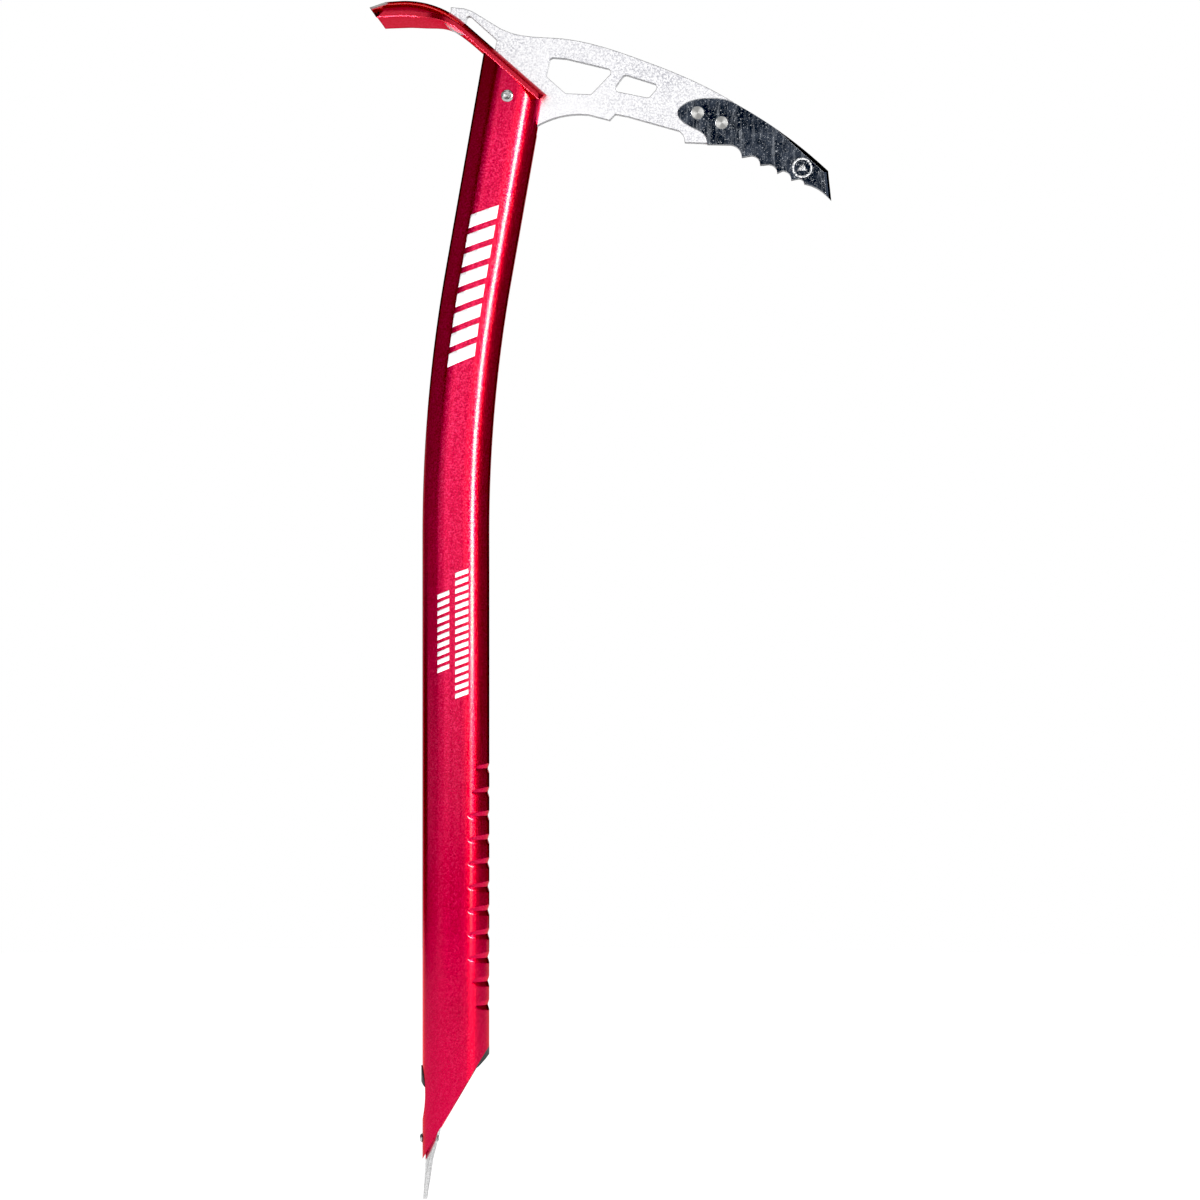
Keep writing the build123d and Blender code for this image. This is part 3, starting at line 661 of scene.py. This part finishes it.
def groove_dent(along, across):
    """Depth of the pressed grip grooves at a point of the surface."""
    number = round((GROOVE_TOP - along) / GROOVE_PITCH)
    if not 0 <= number < GROOVE_COUNT:
        return 0.0
    from_end = min(number, GROOVE_COUNT - 1 - number)
    reach = GROOVE_REACH + GROOVE_STEP * max(0, 2 - from_end)
    share = (across - reach) / (HALF_DEPTH - reach)
    if share <= 0:
        return 0.0
    start = min(1.0, (across - reach) / GROOVE_RUN_OUT)
    depth = GROOVE_DEPTH * (0.45 + 0.55 * share) * sqrt(start * (2 - start))
    off_centre = abs(along - (GROOVE_TOP - number * GROOVE_PITCH))
    wedge = depth - GROOVE_DEPTH * off_centre / GROOVE_HALF
    rounded = 0.5 * (wedge + sqrt(wedge**2 + GROOVE_SOFTNESS**2))
    return max(0.0, rounded - 0.2 * GROOVE_SOFTNESS)


def spaced(start, end, step):
    count = max(1, round((end - start) / step))
    return [start + (end - start) * i / count for i in range(count)]


def shaft_rows(bm, radii, stations, end_rows, dented):
    """Rings of vertices from the slanted foot to the slanted top."""
    angles = [2 * pi * i / SHAFT_SEGMENTS for i in range(SHAFT_SEGMENTS)]
    around_points = [(radii[0] * cos(a), radii[1] * sin(a)) for a in angles]
    rows = []
    for i in range(end_rows):
        share = i / end_rows
        row = []
        for x, y in around_points:
            foot = foot_limit(x)
            row.append(shaft_point(foot + (FOOT_STATION - foot) * share, x, y))
        rows.append(row)
    for along in stations:
        row = []
        for x, y in around_points:
            dent = groove_dent(along, x) if dented else 0.0
            normal = Vector((x / radii[0] ** 2, y / radii[1] ** 2)).normalized()
            row.append(shaft_point(along, x - normal.x * dent, y - normal.y * dent))
        rows.append(row)
    for i in range(end_rows + 1):
        share = i / end_rows
        row = []
        for x, y in around_points:
            row.append(shaft_point(HEAD_STATION + (top_limit(x, y) - HEAD_STATION) * share, x, y))
        rows.append(row)
    return [[bm.verts.new(p) for p in row] for row in rows]


def prism(name, outline, half_thickness):
    """Cutter made of a side-view outline, in frame metres, standing across the tool."""
    bm = bmesh.new()
    near = [bm.verts.new((x, -half_thickness, z)) for x, z in outline]
    far = [bm.verts.new((x, half_thickness, z)) for x, z in outline]
    bm.faces.new(near)
    bm.faces.new(reversed(far))
    count = len(outline)
    for i in range(count):
        j = (i + 1) % count
        bm.faces.new((near[i], near[j], far[j], far[i]))
    return new_object(name, bm, None)


def column(name, centre, direction, radii, half_length, segments=48):
    """Elliptic cutter along a direction; radii are across and up."""
    bm = bmesh.new()
    turn = Vector(direction).to_track_quat("Z", "Y").to_matrix()
    ends = []
    for end in (-half_length, half_length):
        ring = []
        for i in range(segments):
            angle = 2 * pi * i / segments
            offset = Vector((radii[0] * cos(angle), radii[1] * sin(angle), end))
            ring.append(bm.verts.new(turn @ offset + Vector(centre)))
        ends.append(ring)
    grid_faces(bm, ends)
    bm.faces.new(reversed(ends[0]))
    bm.faces.new(ends[1])
    return new_object(name, bm, None)


def cut(obj, cutters):
    """Takes the cutters out of the object, and removes them."""
    for cutter in cutters:
        modifier = obj.modifiers.new(cutter.name, "BOOLEAN")
        modifier.operation = "DIFFERENCE"
        modifier.solver = "EXACT"
        modifier.object = cutter
    apply_modifiers(obj)
    for cutter in cutters:
        bpy.data.objects.remove(cutter)


def build_shaft(material):
    """The tube with softly run-out grooves, in the CAD shaft's shape and place."""
    groove_low = GROOVE_TOP - GROOVE_COUNT * GROOVE_PITCH
    groove_high = GROOVE_TOP + GROOVE_PITCH / 2
    stations = spaced(FOOT_STATION, groove_low, 3 * MM)
    stations += spaced(groove_low, groove_high, 0.3 * MM)
    stations += spaced(groove_high, BEND_START, 6 * MM)
    stations += spaced(BEND_START, BEND_START + BEND_LENGTH, 2.5 * MM)
    stations += spaced(BEND_START + BEND_LENGTH, HEAD_STATION, 6 * MM)

    bm = bmesh.new()
    outer = shaft_rows(bm, (HALF_DEPTH, HALF_WIDTH), stations, OUTER_END_ROWS, True)
    bore = (HALF_DEPTH - WALL, HALF_WIDTH - WALL)
    inner = shaft_rows(bm, bore, stations[::INNER_STATION_SKIP], INNER_END_ROWS, False)
    grid_faces(bm, outer)
    grid_faces(bm, inner[::-1])
    grid_faces(bm, [inner[0], outer[0]])
    grid_faces(bm, [outer[-1], inner[-1]])
    shaft = new_object("shaft_tube", bm, material)

    rear_wall = AXIS_X - HALF_DEPTH
    rivet = sum(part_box("head_rivet"), Vector()) / 2
    blade_slot = []
    for across, along in ((0, 64), (20, 60.5), (20, 110), (0, 110)):
        point = shaft_point(BEND_START + BEND_LENGTH + along * MM, across * MM, 0)
        blade_slot.append((point.x, point.z))
    cut(shaft, [
        prism("blade_slot", blade_slot, BLADE_HALF + SLOT_CLEARANCE),
        column("lanyard_hole", (rear_wall, 0, LANYARD_Z), (1, 0, 0), LANYARD_RADII, 5 * MM, 64),
        column("rivet_bore", rivet, (0, 1, 0), (RIVET_BORE, RIVET_BORE), 12 * MM),
    ])
    shaft.data.shade_smooth()
    shaft.data.set_sharp_from_angle(angle=radians(28))
    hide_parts("shaft")
    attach(shaft, "root")
    return shaft


# ---------------------------------------------------------------- printed and etched marks


def wrapped_mark(name, outlines, start, material):
    """Thin paint on the shaft's near side. Outlines are (across, along) in millimetres from start."""
    bm = bmesh.new()
    for outline in outlines:
        bm.faces.new([bm.verts.new((x * MM, y * MM, 0)) for x, y in outline])
    for position in range(-13, 14):
        cut_flat(bm, (position * MM, 0, 0), (1, 0, 0))
    longest = max(v.co.y for v in bm.verts)
    for step in range(1, int(longest / MARK_GRID) + 1):
        cut_flat(bm, (0, step * MARK_GRID, 0), (0, 1, 0))
    for vertex in bm.verts:
        across, along = vertex.co.x, start + vertex.co.y
        sideways = -HALF_WIDTH * sqrt(1 - (across / HALF_DEPTH) ** 2)
        normal = Vector((across / HALF_DEPTH**2, sideways / HALF_WIDTH**2)).normalized()
        vertex.co = shaft_point(along, across + normal.x * MARK_LIFT, sideways + normal.y * MARK_LIFT)
    return finish_mark(new_object(name, bm, material))


def cut_flat(bm, point, normal):
    """Adds edges where a plane crosses the mesh, so that it can bend there."""
    everything = bm.verts[:] + bm.edges[:] + bm.faces[:]
    bmesh.ops.bisect_plane(bm, geom=everything, plane_co=point, plane_no=normal)


def finish_mark(mark):
    """Turns the mark's faces to the near side and gives it its thickness."""
    for polygon in mark.data.polygons:
        if polygon.normal.y > 0:
            polygon.flip()
    solid = mark.modifiers.new("thickness", "SOLIDIFY")
    solid.thickness = MARK_THICKNESS
    solid.offset = 1.0
    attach(mark, "root")
    return mark


def slanted_bars(count, thickness, gap, low, high, slant):
    """Bars across the shaft, one after another along it, with the far end shifted along by slant."""
    bars = []
    for i in range(count):
        start = i * (thickness + gap)
        end = start + thickness
        bars.append([(low, start), (high, start + slant), (high, end + slant), (low, end)])
    return bars


def build_marks(material):
    """The three groups of plain bars on the shaft."""
    upper = slanted_bars(8, 5.6, 2.7, -6.6, 4.2, 6.0)
    lower_rear = slanted_bars(10, 1.9, 1.5, -6.9, -1.9, 2.0)
    lower_front = slanted_bars(16, 1.9, 1.45, 0.6, 6.0, 2.0)
    return [
        wrapped_mark("marking_upper", upper, 346 * MM, material),
        wrapped_mark("marking_lower_rear", lower_rear, 219.6 * MM, material),
        wrapped_mark("marking_lower_front", lower_front, 209 * MM, material),
    ]


def build_pick_mark(material):
    """Etched ring with a small peak, on the near face of the pick."""
    centre = Vector((AXIS_X + 144.4 * MM, -BLADE_HALF - 0.01 * MM, 429.4 * MM))
    outer, inner, count = 4.2 * MM, 3.4 * MM, 56
    bm = bmesh.new()
    rings = []
    for radius in (outer, inner):
        angles = [2 * pi * i / count for i in range(count)]
        rings.append([bm.verts.new(centre + Vector((radius * cos(a), 0, radius * sin(a)))) for a in angles])
    grid_faces(bm, rings)
    peak = [(-1.9, -1.1), (1.9, -1.1), (0.5, 1.7), (-0.1, 0.7), (-0.6, 1.2)]
    bm.faces.new([bm.verts.new(centre + Vector((x * MM, 0, z * MM))) for x, z in peak])
    return finish_mark(new_object("pick_mark", bm, material))


# ---------------------------------------------------------------- CAD nodes


def dress(node, material):
    """Puts a material on a CAD node, whose mesh stays as packed."""
    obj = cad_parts[node]
    for i in range(len(obj.material_slots)):
        obj.material_slots[i].material = material


def build():
    add_camera()
    add_world()
    add_floor()

    shaft = build_shaft(anodised_red("shaft_anodised"))
    marks = build_marks(marking_paint("marking_white"))
    marks.append(build_pick_mark(marking_paint("marking_worn", worn=True)))

    dress("adze_plate", anodised_red("adze_anodised", bare_edge=True))
    dress("head_blade", tumbled_aluminium())
    dress("pick_plate", polished_steel())
    for node in ("pick_rivet_rear", "pick_rivet_front"):
        dress(node, bright_metal(node, (0.80, 0.80, 0.78), 0.35, faced=node))
    dress("head_rivet", bright_metal("head_rivet", (0.78, 0.78, 0.78), 0.2))
    dress("spike_plate", bright_metal("spike_steel", (0.86, 0.86, 0.865), 0.3))
    dress("spike_rivet", bright_metal("spike_rivet", (0.82, 0.82, 0.82), 0.22))
    dress("spike_rivet_stem", bright_metal("rivet_stem", (0.45, 0.45, 0.45), 0.35))
    nylon = moulded_plastic("filler_nylon", (0.025, 0.025, 0.027), 0.55)
    dress("tang_filler_near", nylon)
    dress("tang_filler_far", nylon)
    dress("end_plug", moulded_plastic("plug_plastic", (0.02, 0.02, 0.021), 0.42))

    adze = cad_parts["adze_plate"]
    bare = [obj for node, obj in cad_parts.items() if node not in ("shaft", "adze_plate")]
    add_lights(shaft, adze, bare + marks)


build()
